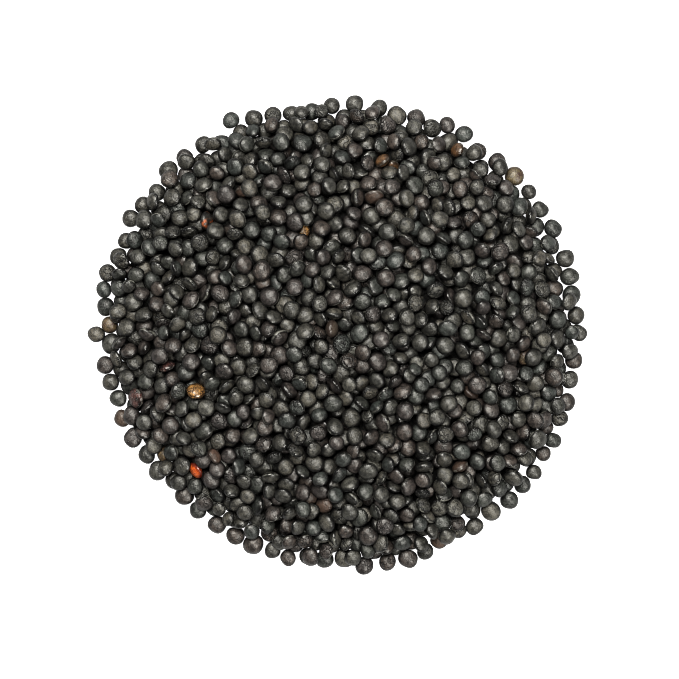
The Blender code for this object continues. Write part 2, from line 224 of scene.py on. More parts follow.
@dataclass
class Pour:
    """Lays seeds on a height map, so that none cuts another.

    It uses only sums, products and square roots, so every computer lays the same heap.

    Attributes:
        sizes: Sizes of the seeds.
        form: The heap's smooth form.
        rim: Rules for the seeds on the ground.
        rain_rules: Rules for the others.
        cell: Width of a cell of the height map.
        half_field: Half the map's width.
        reach_cells: How many cells from its middle a seed covers at most.
        bed_inset: How far inside the outline the core's bed begins.
        seed: Start of the random draws.
        seeds: The seeds laid so far.
        ground: Middle and room of each seed on the ground.
    """

    sizes: SeedSizes = SeedSizes()
    form: HeapForm = HeapForm()
    rim: RimRules = RimRules()
    rain_rules: RainRules = RainRules()
    cell: float = 0.00022
    half_field: float = 0.064
    reach_cells: int = 13
    bed_inset: float = 1.2 * SeedSizes.diameter
    seed: int = 11
    seeds: list[tuple[float, ...]] = field(default_factory=list)
    ground: list[tuple[float, float, float]] = field(default_factory=list)

    def __post_init__(self) -> None:
        """Makes the height map, with the core's bed in it."""
        self.random = np.random.default_rng(self.seed)
        cells = int(round(2 * self.half_field / self.cell))
        axis = (np.arange(cells) + 0.5) * self.cell - self.half_field
        x, y = np.meshgrid(axis, axis, indexing="ij")
        outline, distance = self.form.outline(x, y)
        self.target = self.form.height(x, y)
        self.height = np.where(distance < outline - self.bed_inset, self.form.bed(x, y), 0.0)
        self.owner = np.full(self.height.shape, -1)

    def draw_size(self) -> tuple[float, float]:
        """Draws the size of the next seed, most often near the mean.

        Returns:
            Its radius and half thickness.
        """
        draw = self.random.random(4)
        mean_of_three = 1.5
        swell = self.sizes.size_spread * (draw[0] + draw[1] + draw[2] - mean_of_three)
        radius = self.sizes.diameter / 2 * (1 + swell)
        thin = 1 + self.sizes.thickness_spread * (2 * draw[3] - 1)
        return radius, radius * self.sizes.flatness * thin

    def cell_of(self, place: Any) -> Any:
        """Row or column of the map's cell at a place."""
        return np.floor((place + self.half_field) / self.cell).astype(int)

    def faces_over(
        self, x: Array, y: Array, radius: float, half: float, lean: Array
    ) -> tuple[Array, Array, Array, Array, Array]:
        """Works out the lower and upper face of one seed at several places, cell by cell.

        Args:
            x: Places of its centre across the heap.
            y: Places of its centre along the heap.
            radius: Its radius.
            half: Half its thickness.
            lean: The direction of its axis at each place.

        Returns:
            The map's rows and columns, which cells it covers, and both faces above its centre.
        """
        span = np.arange(-self.reach_cells, self.reach_cells + 1)
        rows = self.cell_of(x)[:, None] + span
        columns = self.cell_of(y)[:, None] + span
        dx = ((rows + 0.5) * self.cell - self.half_field - x[:, None])[:, :, None]
        dy = ((columns + 0.5) * self.cell - self.half_field - y[:, None])[:, None, :]
        round_term = 1 / (radius * radius)
        flat_term = 1 / (half * half) - round_term
        lean_x = lean[:, 0, None, None]
        lean_y = lean[:, 1, None, None]
        lean_z = lean[:, 2, None, None]
        along = lean_x * dx + lean_y * dy
        square = round_term + flat_term * lean_z * lean_z
        linear = flat_term * lean_z * along
        constant = round_term * (dx * dx + dy * dy) + flat_term * along * along - 1
        inside_by = linear * linear - square * constant
        covered = inside_by > 0
        root = np.sqrt(np.where(covered, inside_by, 0))
        return rows, columns, covered, (-linear - root) / square, (-linear + root) / square

    def rest(self, x: Array, y: Array, radius: float, half: float, lean: Array) -> tuple[Array, Patch]:
        """Lets one seed down on the map at several places.

        Args:
            x: Places of its centre across the heap.
            y: Places of its centre along the heap.
            radius: Its radius.
            half: Half its thickness.
            lean: The direction of its axis at each place.

        Returns:
            The height of its centre at each place, and the cells that it covers with its upper face.
        """
        rows, columns, covered, low, high = self.faces_over(x, y, radius, half, lean)
        ground = self.height[rows[:, :, None], columns[:, None, :]]
        centre = np.where(covered, ground - low, -1.0).max((1, 2))
        return centre, (rows, columns, covered, high)

    def lay(
        self,
        place: tuple[float, float, float],
        size: tuple[float, float],
        lean: Array,
        patch: Patch,
        chosen: int,
    ) -> None:
        """Keeps a seed, and raises the height map to its upper face.

        Args:
            place: Its centre.
            size: Its radius and half thickness.
            lean: The direction of its axis.
            patch: The cells that it covers, for each place that was tried.
            chosen: Which of those places it takes.
        """
        rows, columns, covered, high = (part[chosen] for part in patch)
        cells = np.ix_(rows, columns)
        before = self.height[cells]
        top = place[2] + high
        raised = covered & (top > before)
        self.height[cells] = np.where(raised, top, before)
        self.owner[cells] = np.where(raised, len(self.seeds), self.owner[cells])
        self.seeds.append((*place, *size, lean[0], lean[1], lean[2]))

    def directions(self, count: int) -> Array:
        """Draws directions in the plane, in a square, and brings them to length 1.

        Args:
            count: How many.

        Returns:
            The directions.
        """
        shortest = 0.05
        draw = self.random.random((count, 2)) * 2 - 1
        length = np.sqrt(draw[:, 0] * draw[:, 0] + draw[:, 1] * draw[:, 1])
        poor = (length > 1) | (length < shortest)
        draw[poor] = (1.0, 0.0)
        length[poor] = 1.0
        return draw / length[:, None]

    def meetings(self, ways: Array, radius: float) -> tuple[Array, Array, Array]:
        """Works out where a seed on the ground would meet the others, on each way through the middle.

        Args:
            ways: Directions of the ways.
            radius: The seed's radius.

        Returns:
            Which of the others it meets on each way, and how far out it touches them first and last.
        """
        x, y, reach = np.array(self.ground).T
        along = ways[:, :1] * x + ways[:, 1:] * y
        aside = ways[:, :1] * y - ways[:, 1:] * x
        room = (radius + reach) * (radius + reach) - aside * aside
        half_way = np.sqrt(np.maximum(room, 0))
        return (room > 0) & (along > 0), along - half_way, along + half_way

    def slide_in(self, ways: Array, radius: float) -> Array:
        """Slides a seed in from outside until it touches.

        Args:
            ways: Directions that it comes from.
            radius: Its radius.

        Returns:
            How far past the outline it then reaches, on each way. Less is better.
        """
        outline, _ = self.form.outline(ways[:, 0], ways[:, 1])
        met, _, far = self.meetings(ways, radius)
        return np.where(met, far, 0).max(1) + radius - outline

    def slide_out(self, ways: Array, radius: float) -> Array:
        """Slides a seed out from inside until it touches.

        Args:
            ways: Directions that it goes.
            radius: Its radius.

        Returns:
            How far short of the outline it then stops, on each way. Less is better.
        """
        outline, _ = self.form.outline(ways[:, 0], ways[:, 1])
        start = (outline - self.rim.width)[:, None]
        met, near, far = self.meetings(ways, radius)
        blocked = (met & (near < start) & (far > start)).any(1)
        stop = np.where(met & (near >= start), near, outline[:, None] - radius).min(1)
        return np.where(blocked, self.rim.width, outline - radius - stop)

    def lay_flat(self, way: tuple[float, float], far: float, radius: float, half: float) -> None:
        """Lays a seed on the ground, leaning a little.

        Args:
            way: Its direction from the middle.
            far: Its distance from the middle.
            radius: Its radius.
            half: Half its thickness.
        """
        x, y = np.array([way[0] * far]), np.array([way[1] * far])
        self.ground.append((x[0], y[0], radius * self.rim.ground_gap))
        lean = np.zeros((1, 3))
        lean[0, :2] = (self.random.random(2) - 0.5) * 2 * self.rim.lean
        lean[0, 2] = np.sqrt(1 - lean[0, 0] * lean[0, 0] - lean[0, 1] * lean[0, 1])
        z, patch = self.rest(x, y, radius, half, lean)
        self.lay((x[0], y[0], z[0]), (radius, half), lean[0], patch, 0)

    def lay_chain(self) -> None:
        """Lays the outermost ring, each seed against the one before it."""
        way, before, turned = (1.0, 0.0), None, 0.0
        while turned < self.rim.one_turn:
            radius, half = self.draw_size()
            outline, _ = self.form.outline(way[0], way[1])
            draw = self.random.random(3)
            far = outline - radius - self.rim.ragged * draw[0] * draw[0]
            if before:
                apart = before[1] + radius + self.rim.gap * draw[1] * draw[1]
                cosine = (before[0] * before[0] + far * far - apart * apart) / (2 * before[0] * far)
                sine = np.sqrt(1 - cosine * cosine)
                way = (way[0] * cosine - way[1] * sine, way[1] * cosine + way[0] * sine)
                turned += sine
                x, y, reach = self.ground[0]
                across, up = way[0] * far - x, way[1] * far - y
                closed = across * across + up * up < (radius + reach) * (radius + reach)
                if closed and turned > self.rim.one_turn / 2:
                    return
            self.lay_flat(way, far, radius, half)
            before = (far, radius * self.rim.ground_gap)

    def lay_on_ground(self, slide: Callable[[Array, float], Array], most: float, tries: int) -> None:
        """Slides one flat seed over the ground until it touches, then rolls it round what it met.

        Args:
            slide: Which way it comes, slide_in or slide_out.
            most: The furthest from the outline that it may stop.
            tries: How many ways it tries.
        """
        radius, half = self.draw_size()
        ways = self.directions(tries)
        stop = slide(ways, radius)
        best = int(stop.argmin())
        way, least = ways[best], stop[best]
        for turn in self.rim.rolls:
            near = way + (self.random.random((self.rim.roll_ways, 2)) - 0.5) * 2 * turn
            near = near / np.sqrt(near[:, :1] * near[:, :1] + near[:, 1:] * near[:, 1:])
            stop = slide(near, radius)
            closest = int(stop.argmin())
            if stop[closest] < least:
                way, least = near[closest], stop[closest]
        if least < most:
            outline, _ = self.form.outline(way[0], way[1])
            side = 1 if slide == self.slide_in else -1
            self.lay_flat(way, outline - radius + side * least, radius, half)

    def settle(
        self, x: float, y: float, radius: float, half: float
    ) -> tuple[float, float, float, Array, Patch, int]:
        """Moves and tilts a seed over places nearby and keeps where it lies deepest.

        Args:
            x: Where it drops, across the heap.
            y: Where it drops, along the heap.
            radius: Its radius.
            half: Half its thickness.

        Returns:
            Its height, place and lean, the cells that it covers at each try, and the best try.
        """
        rules = self.rain_rules
        best = None
        start = self.random.random(4) * 2 - 1
        wedged = float(start[2] > 1 - 2 * rules.wedged_share)
        lean_x, lean_y = wedged * start[0], wedged * start[1]
        for move, tilt, tries in rules.rounds:
            tilt = tilt * (1 - rules.wedged_hold * wedged)
            draw = self.random.random((tries, 4)) * 2 - 1
            near_x, near_y = x + draw[:, 0] * move, y + draw[:, 1] * move
            lean = np.stack([lean_x + draw[:, 2] * tilt, lean_y + draw[:, 3] * tilt, np.zeros(tries)], 1)
            flat = lean[:, 0] * lean[:, 0] + lean[:, 1] * lean[:, 1]
            shorten = np.sqrt(rules.most_tilt / np.maximum(flat, rules.most_tilt))
            lean[:, 0] *= shorten
            lean[:, 1] *= shorten
            lean[:, 2] = np.sqrt(1 - lean[:, 0] * lean[:, 0] - lean[:, 1] * lean[:, 1])
            z, patch = self.rest(near_x, near_y, radius, half, lean)
            outline, distance = self.form.outline(near_x, near_y)
            outside = np.maximum(0, distance + radius + rules.skin_inset - outline)
            depth = z - self.form.height(near_x, near_y) + rules.inset_pull * outside
            deepest = int(depth.argmin())
            if best is None or depth[deepest] < best[0]:
                x, y = near_x[deepest], near_y[deepest]
                lean_x, lean_y = lean[deepest, 0], lean[deepest, 1]
                best = (depth[deepest], z[deepest], x, y, lean[deepest], patch, deepest)
        return best[1:]

    def rain(self) -> None:
        """Drops seeds into the deepest places until the heap reaches its form."""
        rules = self.rain_rules
        misses = 0
        for _ in range(rules.drops):
            x, y = (self.random.random((2, rules.spots)) * 2 - 1) * self.half_field
            outline, distance = self.form.outline(x, y)
            rows, columns = self.cell_of(x), self.cell_of(y)
            lack = self.target[rows, columns] - self.height[rows, columns]
            lack = np.where(distance < outline - rules.drop_inset, lack, -1.0)
            lowest = int(lack.argmax())
            radius, half = self.draw_size()
            z, x, y, lean, patch, chosen = self.settle(x[lowest], y[lowest], radius, half)
            top = z + half * lean[2] + radius * (1 - lean[2])
            if top > max(self.form.height(x, y), 2 * half) + rules.proud:
                misses += 1
                if misses > rules.most_misses:
                    return
                continue
            misses = max(0, misses - 1)
            self.lay((x, y, z), (radius, half), lean, patch, chosen)

    def run(self) -> tuple[Array, Array]:
        """Lays the whole heap.

        Returns:
            The seeds, as centre, radius, half thickness and axis, and the area each shows from above.
        """
        self.lay_chain()
        for _ in range(self.rim.seeds):
            self.lay_on_ground(self.slide_out, self.rim.width - self.sizes.diameter / 2, self.rim.ways)
        for _ in range(self.rim.strays):
            self.lay_on_ground(self.slide_in, self.rim.stray_reach, self.rim.stray_ways)
        self.rain()
        seeds = np.array(self.seeds)
        shown = np.bincount(self.owner[self.owner >= 0], minlength=len(seeds)) * self.cell * self.cell
        return seeds, shown


def middle_of(seeds: Array) -> Array:
    """Finds the middle of the box round the seeds, seen from above.

    Args:
        seeds: The seeds, as centre, radius, half thickness and axis.

    Returns:
        The middle.
    """
    low = (seeds[:, :2] - seeds[:, 3:4]).min(0)
    high = (seeds[:, :2] + seeds[:, 3:4]).max(0)
    return (low + high) / 2


# Shaders


@dataclass(frozen=True)
class Cloud:
    """A cloudy pattern: the width of its largest shapes, and how many and how strong the finer ones are."""

    size: float
    detail: float
    roughness: float = 0.5

    @property
    def mean(self) -> float:
        """The pattern's value half way between its troughs and crests."""
        return 0.5


@dataclass(frozen=True)
class Value:
    """A number that a shader works out at each point. An expression on values adds its Math nodes."""

    graph: Graph
    socket: bpy.types.NodeSocket

    def maths(self, operation: str, *operands: Value | float) -> Value:
        """Adds one Math node on these operands, in their order."""
        sockets = dict(enumerate(operands))
        return self.graph.value("ShaderNodeMath", {"operation": operation}, sockets)

    def __add__(self, other: Value | float) -> Value:
        """Sum."""
        return self.maths("ADD", self, other)

    def __sub__(self, other: Value | float) -> Value:
        """Difference."""
        return self.maths("SUBTRACT", self, other)

    def __rsub__(self, other: float) -> Value:
        """Difference from a plain number."""
        return self.maths("SUBTRACT", other, self)

    def __mul__(self, other: Value | float) -> Value:
        """Product."""
        return self.maths("MULTIPLY", self, other)

    def __abs__(self) -> Value:
        """Size without its sign."""
        return self.maths("ABSOLUTE", self)

    __radd__ = __add__
    __rmul__ = __mul__

    def rising(self, low: float, high: float) -> Value:
        """Goes smoothly from 0 to 1 between two values.

        Args:
            low: Where it is 0.
            high: Where it is 1. It falls where this is the smaller one.

        Returns:
            The value, from 0 to 1.
        """
        ends = {"From Min": low, "From Max": high, "To Min": 0.0, "To Max": 1.0}
        settings = {"interpolation_type": "SMOOTHSTEP"}
        return self.graph.value("ShaderNodeMapRange", settings, {"Value": self, **ends})


class Graph:
    """The nodes of one material, or of the world's light."""

    def __init__(self, owner: bpy.types.Material | bpy.types.World) -> None:
        """Empties the owner's nodes.

        Args:
            owner: The material or the world.
        """
        owner.use_nodes = True
        self.owner = owner
        self.tree = owner.node_tree
        self.tree.nodes.clear()

    def finish(self, kind: str, shader: bpy.types.Node) -> None:
        """Joins the shader to the output node of that kind."""
        self.node(kind, {}, {"Surface": shader.outputs[0]})

    def surface(self, sockets: dict[str, Any]) -> bpy.types.Material:
        """Adds the shader of a material's surface and finishes the material.

        Args:
            sockets: A number, colour or link for each input of the shader, by its name.

        Returns:
            The material.
        """
        shader = self.node("ShaderNodeBsdfPrincipled", {}, sockets)
        self.finish("ShaderNodeOutputMaterial", shader)
        return self.owner

    def relief(self, depth: float, height: Value) -> bpy.types.NodeSocket:
        """Adds a bump of a depth in metres that follows the height."""
        bump = self.node("ShaderNodeBump", {}, {"Strength": 1.0, "Distance": depth, "Height": height})
        return bump.outputs["Normal"]

    def node(
        self, kind: str, settings: dict[str, Any] | None = None, sockets: dict[Any, Any] | None = None
    ) -> bpy.types.Node:
        """Adds one node.

        Args:
            kind: Blender's name for the node's type.
            settings: What is chosen on the node itself, set before its sockets.
            sockets: A number, colour or link for each input, by its name or its place.

        Returns:
            The node.
        """
        node = self.tree.nodes.new(kind)
        for name, setting in (settings or {}).items():
            setattr(node, name, setting)
        for name, given in (sockets or {}).items():
            socket = node.inputs[name]
            source = given.socket if isinstance(given, Value) else given
            if isinstance(source, bpy.types.NodeSocket):
                self.tree.links.new(source, socket)
            elif isinstance(source, tuple) and len(source) < len(socket.default_value):
                socket.default_value = (*source, 1.0)
            else:
                socket.default_value = source
        return node

    def value(
        self,
        kind: str,
        settings: dict[str, Any] | None = None,
        sockets: dict[Any, Any] | None = None,
        output: str | int = 0,
    ) -> Value:
        """Adds one node and wraps one of its outputs."""
        return Value(self, self.node(kind, settings, sockets).outputs[output])

    def attribute(self, name: str) -> Value:
        """A number that the mesh holds at its points."""
        return self.value("ShaderNodeAttribute", {"attribute_name": name}, output="Fac")

    def mix(self, share: Value | float, first: Any, second: Any) -> Value:
        """Blends two colours.

        Args:
            share: Share of the second one, from 0 to 1.
            first: The first colour, plain or linked.
            second: The second colour, plain or linked.

        Returns:
            The blend.
        """
        colour_a, colour_b, result = 6, 7, 2
        sockets = {0: share, colour_a: first, colour_b: second}
        return self.value("ShaderNodeMix", {"data_type": "RGBA"}, sockets, result)

    def noise(self, place: Value, cloud: Cloud) -> Value:
        """Adds a cloudy pattern.

        Args:
            place: The point in space.
            cloud: The pattern.

        Returns:
            The pattern's value there.
        """
        sockets = {
            "Vector": place,
            "Scale": 1 / cloud.size,
            "Detail": cloud.detail,
            "Roughness": cloud.roughness,
        }
        return self.value("ShaderNodeTexNoise", {}, sockets)


@dataclass(frozen=True)
class SeedSkin:
    """Finish of one kind of seed: a satin skin, mottled between two greys, scratched and wrinkled, with
    painted shade towards its keel and a painted highlight along some keels.

    Attributes:
        name: Name of the material.
        dark: Colour of furrows, hollows of the mottling, and the painted shade towards the keel.
        cool: Lightest colour of a cool seed.
        warm: Lightest colour of a warm seed.
        patch: Colour where the skin has another colour or is gone.
        patchy: How much of a seed that is.
        patches: Pattern of those places.
        patch_fade: How far their edges fade outwards and inwards.
        patch_ragged: How much the grain frays their edges.
        patch_grain: Grain between which the patch goes over into the skin.
        gloss: Strength of the reflections.
        roughness: Dullness of the reflections.
        uneven: How much the grain changes it.
        mottles: Pattern of the mottling.
        mottle_band: Values between which it goes from dark to light.
        mottle_least: Light in its hollows.
        mottle_gain: Light that its crests add.
        grains: Pattern of the fine grain.
        grain_band: Values between which it goes from dark to light.
        speckled: How strongly the grain speckles the colour.
        creases: Pattern whose middle line the furrows follow.
        crease_width: Width of a furrow in it.
        crease_dark: How dark a wrinkled seed's furrows are.
        crease_dull: How dull they are.
        dents: Pattern of the shallow dents.
        relief: Depth of the relief, in metres.
        dented: Share of the dents in it.
        rippled: Share of the mottling in it.
        grainy: Share of the grain in it.
        furrowed: Share of the furrows in it.
        least_furrowed: How much of the furrows a smooth seed has.
        painted_shade_start: Where the painted shade begins, from the axis at 0 to the keel at 1.
        margin_gloss: How much smoother the skin is where that shade is painted.
        keel: Colour of the painted highlight along the keel.
        keel_highlight_start: Where the painted highlight begins.
        keel_highlight_band: Mottling between which the painted highlight comes and goes.
    """

    name: str
    dark: Colour
    cool: Colour
    warm: Colour
    patch: Colour = (0.10, 0.07, 0.05)
    patchy: float = 0.0
    patches: Cloud = Cloud(0.0024, 3.0, 0.6)
    patch_fade: tuple[float, float] = (0.12, 0.06)
    patch_ragged: float = 0.25
    patch_grain: tuple[float, float] = (0.42, 0.75)
    gloss: float = 0.62
    roughness: float = 0.45
    uneven: float = 0.25
    mottles: Cloud = Cloud(0.0011, 4.0, 0.62)
    mottle_band: tuple[float, float] = (0.36, 0.62)
    mottle_least: float = 0.25
    mottle_gain: float = 0.66
    grains: Cloud = Cloud(0.00026, 2.0, 0.6)
    grain_band: tuple[float, float] = (0.3, 0.7)
    speckled: float = 1.18
    creases: Cloud = Cloud(0.0016, 2.5)
    crease_width: float = 0.07
    crease_dark: float = 0.45
    crease_dull: float = 0.15
    dents: Cloud = Cloud(0.0013, 1.0)
    relief: float = 0.00030
    dented: float = 0.50
    rippled: float = 0.22
    grainy: float = 0.09
    furrowed: float = 0.5
    least_furrowed: float = 0.05
    painted_shade_start: float = 0.68
    margin_gloss: float = 0.12
    # Painted highlight along the keel.
    keel: Colour = (0.16, 0.16, 0.145)
    keel_highlight_start: float = 0.93
    keel_highlight_band: tuple[float, float] = (0.40, 0.60)

    @property
    def piece_name(self) -> str:
        """Name of the piece that wears the finish."""
        return self.name.rpartition("_")[0] + "_lentils"

    def material(self) -> bpy.types.Material:
        """Builds the finish.

        Returns:
            The material.
        """
        graph = Graph(bpy.data.materials.new(self.name))
        place = graph.value("ShaderNodeTexCoord", output="Object")
        reach = graph.attribute("reach")
        tone = graph.attribute("tone")
        tint = graph.attribute("tint")
        wrinkled = graph.attribute("wrinkled")
        keel_highlight_strength = graph.attribute("keel_highlight_strength")
        mottle = graph.noise(place, self.mottles)
        grain = graph.noise(place, self.grains)
        dents = graph.noise(place, self.dents)
        creases = abs(graph.noise(place, self.creases) - self.creases.mean)
        furrows = 1 - creases.rising(0.0, self.crease_width)
        # Painted shade: the colour darkens towards the keel.
        painted_margin_shade = reach.rising(self.painted_shade_start, 1.0)

        speckle = grain.rising(*self.grain_band) * self.speckled + (1 - self.speckled / 2)
        mottling = mottle.rising(*self.mottle_band) * self.mottle_gain + self.mottle_least
        pattern = mottling * speckle * (1 - painted_margin_shade) * tone
        light = graph.mix(tint, self.cool, self.warm)
        colour = graph.mix(pattern - furrows * wrinkled * self.crease_dark, self.dark, light)
        if self.patchy:
            colour = self.patched(graph, place, grain, colour, light)
        # Painted highlight: a pale line along the keel of some seeds.
        edge = reach.rising(self.keel_highlight_start, 1.0) * keel_highlight_strength * mottle.rising(*self.keel_highlight_band)

        rough = self.roughness + (grain - self.grains.mean) * self.uneven
        rough = rough + furrows * wrinkled * self.crease_dull - painted_margin_shade * self.margin_gloss
        height = dents * self.dented + mottle * self.rippled + grain * self.grainy
        height = height - furrows * (wrinkled + self.least_furrowed) * self.furrowed
        return graph.surface(
            {
                "Base Color": graph.mix(edge, colour, self.keel),
                "Roughness": rough,
                "Specular IOR Level": self.gloss,
                "Normal": graph.relief(self.relief, height),
            }
        )

    def patched(self, graph: Graph, place: Value, grain: Value, skin: Value, light: Value) -> Value:
        """Lays the patches over the skin's colour.

        Args:
            graph: The material's nodes.
            place: The point in space.
            grain: The fine grain there.
            skin: Colour of the skin.
            light: Lightest colour of the skin.

        Returns:
            The colour with the patches.
        """
        outwards, inwards = self.patch_fade
        cloud = graph.noise(place, self.patches) + (grain - self.grains.mean) * self.patch_ragged
        share = cloud.rising(1.0 - self.patchy - outwards, 1.0 - self.patchy + inwards)
        return graph.mix(share, skin, graph.mix(grain.rising(*self.patch_grain), self.patch, light))


class SeedKind(Enum):
    """The kinds of seed in the heap, by their finish."""

    CHARCOAL = SeedSkin("charcoal_skin", (0.005, 0.005, 0.005), (0.058, 0.058, 0.053), (0.061, 0.058, 0.050))
    SLATE = SeedSkin("slate_skin", (0.005, 0.005, 0.005), (0.048, 0.054, 0.052), (0.053, 0.055, 0.049))
    UMBER = SeedSkin("umber_skin", (0.006, 0.005, 0.005), (0.060, 0.054, 0.053), (0.068, 0.056, 0.049))
    ASH = SeedSkin(
        "ash_skin", (0.006, 0.006, 0.006), (0.084, 0.083, 0.074), (0.090, 0.083, 0.070), roughness=0.50
    )
    BROWN = SeedSkin(
        "brown_skin", (0.030, 0.021, 0.017), (0.058, 0.048, 0.038), (0.088, 0.056, 0.043), roughness=0.50
    )
    OLIVE = SeedSkin(
        "olive_skin",
        (0.030, 0.024, 0.017),
        (0.115, 0.092, 0.055),
        (0.140, 0.104, 0.062),
        patch=(0.040, 0.022, 0.020),
        patchy=0.45,
        patches=Cloud(0.0016, 3.0, 0.6),
    )
    COPPER = SeedSkin(
        "copper_skin", (0.026, 0.016, 0.010), (0.130, 0.078, 0.038), (0.210, 0.088, 0.042), roughness=0.40
    )
    GOLDEN = SeedSkin(
        "golden_skin",
        (0.020, 0.012, 0.008),
        (0.28, 0.17, 0.065),
        (0.36, 0.21, 0.080),
        patch=(0.026, 0.015, 0.010),
        patchy=0.50,
        patches=Cloud(0.0010, 3.0, 0.6),
        roughness=0.34,
    )
    RUSSET = SeedSkin(
        "russet_skin",
        (0.006, 0.004, 0.004),
        (0.042, 0.033, 0.031),
        (0.052, 0.036, 0.033),
        patch=(0.110, 0.052, 0.047),
        patchy=0.42,
        roughness=0.38,
    )
    SCARRED = SeedSkin(
        "scarred_skin",
        (0.005, 0.005, 0.005),
        (0.048, 0.045, 0.041),
        (0.052, 0.045, 0.040),
        patch=(0.42, 0.12, 0.035),
        patchy=0.42,
    )
    ORANGE = SeedSkin(
        "orange_flesh",
        (0.100, 0.012, 0.004),
        (0.48, 0.115, 0.024),
        (0.55, 0.150, 0.032),
        roughness=0.42,
    )

    @property
    def skin(self) -> SeedSkin:
        """The finish."""
        return self.value


class Showing(Enum):
    """How much of a seed shows from above: its broad face, its narrow side, half of it, or only a bit."""

    FACE = "face"
    EDGE = "edge"
    PART = "part"
    BIT = "bit"


class Oddity(Enum):
    """Seeds that stand out: kind, where they lie in the photograph, and how they show."""

    COPPER_ON_EDGE = (SeedKind.COPPER, 452, 150, Showing.EDGE)
    COPPER_BIT = (SeedKind.COPPER, 394, 165, Showing.BIT)
    COPPER_AT_TOP = (SeedKind.COPPER, 383, 143, Showing.EDGE)
    ORANGE_LOWER_LEFT = (SeedKind.ORANGE, 207, 482, Showing.PART)
    SCARRED_UPPER_LEFT = (SeedKind.SCARRED, 214, 208, Showing.PART)
    BROWN_UPPER_LEFT = (SeedKind.BROWN, 242, 202, Showing.EDGE)
    BROWN_BELOW_TOP = (SeedKind.BROWN, 383, 196, Showing.EDGE)
    RUSSET_AT_LEFT = (SeedKind.RUSSET, 159, 378, Showing.EDGE)
    RUSSET_WRINKLED = (SeedKind.RUSSET, 132, 399, Showing.FACE)
    GOLDEN_AT_LEFT = (SeedKind.GOLDEN, 190, 385, Showing.EDGE)
    GOLDEN_SPECK = (SeedKind.GOLDEN, 299, 233, Showing.BIT)
    OLIVE_AT_RIM = (SeedKind.OLIVE, 512, 168, Showing.FACE)
    OLIVE_AT_LEFT = (SeedKind.OLIVE, 114, 318, Showing.FACE)
    OLIVE_LOWER_LEFT = (SeedKind.OLIVE, 162, 455, Showing.BIT)
    OLIVE_AT_RIGHT = (SeedKind.OLIVE, 520, 357, Showing.BIT)
    BROWN_AT_LEFT_RIM = (SeedKind.BROWN, 123, 423, Showing.FACE)
    BROWN_BELOW_MIDDLE = (SeedKind.BROWN, 222, 443, Showing.EDGE)
    BROWN_AT_BOTTOM = (SeedKind.BROWN, 310, 492, Showing.BIT)
    BROWN_NEXT_TO_IT = (SeedKind.BROWN, 323, 500, Showing.FACE)
    BROWN_IN_MIDDLE = (SeedKind.BROWN, 338, 342, Showing.EDGE)
    BROWN_RIGHT_OF_MIDDLE = (SeedKind.BROWN, 471, 380, Showing.EDGE)
    BROWN_LOWER_RIGHT = (SeedKind.BROWN, 462, 464, Showing.FACE)
    BROWN_AT_LOWER_RIM = (SeedKind.BROWN, 447, 549, Showing.FACE)


# The visual model


@dataclass(frozen=True)
class PhotoFrame:
    """The photograph's frame, and the heap's box in it, in pixels."""

    side: float = 679.0
    heap_left: float = 87.0
    heap_right: float = 587.0
    heap_top: float = 91.0
    heap_bottom: float = 579.0

    def metres_per_pixel(self, width: float) -> float:
        """Size of a pixel at the heap's rim, for a heap of this width."""
        return width / (self.heap_right - self.heap_left)

    def place(self, across: float, down: float, pixel: float) -> Array:
        """Finds the place in the model of a point of the photograph, seen straight from above.

        Args:
            across: Pixels from the photograph's left side.
            down: Pixels from its top.
            pixel: Size of a pixel, in metres.

        Returns:
            The place across and along the heap.
        """
        middle_across = (self.heap_left + self.heap_right) / 2
        middle_down = (self.heap_top + self.heap_bottom) / 2
        return np.array([(across - middle_across) * pixel, (middle_down - down) * pixel])


